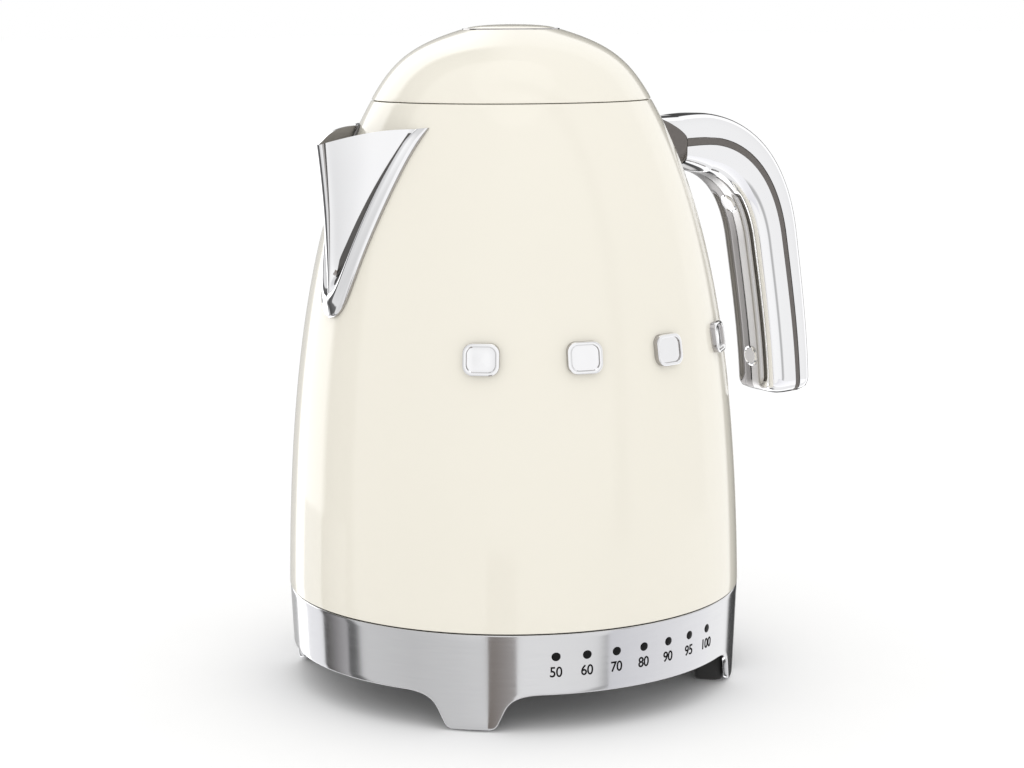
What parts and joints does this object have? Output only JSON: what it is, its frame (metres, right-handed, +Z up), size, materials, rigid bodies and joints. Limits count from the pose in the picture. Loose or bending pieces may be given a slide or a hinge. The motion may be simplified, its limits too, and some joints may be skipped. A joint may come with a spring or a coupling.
{
  "type": "electric kettle",
  "caption": "Rounded enamelled electric kettle with a dome lid, V-shaped pouring spout and C-shaped handle, standing on a round swivel power base with short legs and a temperature scale.",
  "frame": {"origin": "under the middle of the whole kettle, on the surface that it stands on", "axes": "+Z up, spout towards -X, handle towards +X, temperature scale towards -Y"},
  "size_m": [0.2275, 0.173, 0.248],
  "materials": {
    "cream_enamel": "glossy cream enamel",
    "polished_chrome": "mirror polished",
    "satin_chrome": "polished with a soft grain",
    "stainless_steel": "brushed",
    "dark_grey_plastic": "fine matt",
    "black_plastic": "fine matt",
    "rubber": "matt",
    "silicone": "translucent white silicone",
    "clear_plastic": "clear, glossy",
    "circuit_board": "green solder mask"
  },
  "bodies": {
    "base": {"base_housing": "satin_chrome", "base_top_plate": "black_plastic", "base_bottom_cover": "black_plastic", "base_connector": "black_plastic", "foot_pad_1": "rubber", "foot_pad_2": "rubber", "foot_pad_3": "rubber", "foot_pad_4": "rubber", "base_screw_1": "stainless_steel", "base_screw_2": "stainless_steel", "base_screw_3": "stainless_steel", "light_guide": "black_plastic", "control_board": "circuit_board", "cord_gland": "rubber", "start_lever_bracket": "black_plastic", "start_lever_pin": "stainless_steel", "temperature_lever_bracket": "black_plastic", "temperature_lever_pin": "stainless_steel"},
    "start_lever": {"start_lever": "polished_chrome"},
    "temperature_lever": {"temperature_lever": "polished_chrome"},
    "glide_ring": {"glide_ring": "black_plastic"},
    "jug": {"body_shell": "cream_enamel", "water_window": "clear_plastic", "heater_plate": "stainless_steel", "plate_seal": "silicone", "heating_element": "stainless_steel", "temperature_probe": "stainless_steel", "jug_connector": "black_plastic", "jug_bottom_cover": "black_plastic", "cover_screw_1": "stainless_steel", "cover_screw_2": "stainless_steel", "cover_screw_3": "stainless_steel", "spout": "polished_chrome", "spout_trim": "polished_chrome", "filter_frame": "dark_grey_plastic", "filter_mesh": "stainless_steel", "handle_outer_shell": "polished_chrome", "handle_inner_shell": "polished_chrome", "handle_core": "dark_grey_plastic", "handle_collar": "dark_grey_plastic", "screw_cap_upper": "polished_chrome", "screw_cap_lower": "polished_chrome", "handle_screw_1": "stainless_steel", "handle_screw_2": "stainless_steel", "badge_1": "polished_chrome", "badge_2": "polished_chrome", "badge_3": "polished_chrome", "badge_4": "polished_chrome", "hinge_bracket": "polished_chrome", "lid_hinge_pin": "stainless_steel", "lid_spring": "stainless_steel"},
    "lid": {"lid_cover": "cream_enamel", "lid_liner": "dark_grey_plastic", "lid_seal": "silicone", "button_ring": "polished_chrome", "button_spring": "stainless_steel", "latch_spring": "stainless_steel"},
    "lid_button": {"lid_button": "cream_enamel"},
    "lid_latch": {"lid_latch": "black_plastic"}
  },
  "joints": [
    {"name": "start_lever_press", "type": "hinge", "parent": "base", "child": "start_lever", "pos_m": [0.04366, 0.02748, 0.025], "axis": [-0.3616, 0.9323, 0], "range_deg": [0, 12], "stiffness_Nm_per_rad": 0.02, "springref_deg": -17.19},
    {"name": "temperature_lever_press", "type": "hinge", "parent": "base", "child": "temperature_lever", "pos_m": [0.04871, -0.00371, 0.025], "axis": [0.0489, 0.9988, 0], "range_deg": [0, 12], "stiffness_Nm_per_rad": 0.02, "springref_deg": -17.19},
    {"name": "jug_swivel", "type": "hinge", "parent": "base", "child": "glide_ring", "pos_m": [-0.0272, 0, 0.0355], "axis": [0, 0, 1], "continuous": true},
    {"name": "jug_lift", "type": "slide", "parent": "glide_ring", "child": "jug", "axis": [0, 0, 1], "range_m": [0, 0.08]},
    {"name": "lid_hinge", "type": "hinge", "parent": "jug", "child": "lid", "pos_m": [0.0278, 0, 0.2203], "axis": [0, 1, 0], "range_deg": [0, 80], "deforming": ["lid_spring"]},
    {"name": "lid_button_press", "type": "slide", "parent": "lid", "child": "lid_button", "axis": [0, 0, -1], "range_m": [0, 0.003], "stiffness_N_per_m": 400, "springref_m": -0.001, "deforming": ["button_spring"]},
    {"name": "lid_latch_slide", "type": "slide", "parent": "lid", "child": "lid_latch", "axis": [1, 0, 0], "range_m": [0, 0.003], "deforming": ["latch_spring"]}
  ],
  "couplings": [
    {"joint": "lid_latch_slide", "follows": "lid_button_press", "ratio": 1}
  ]
}
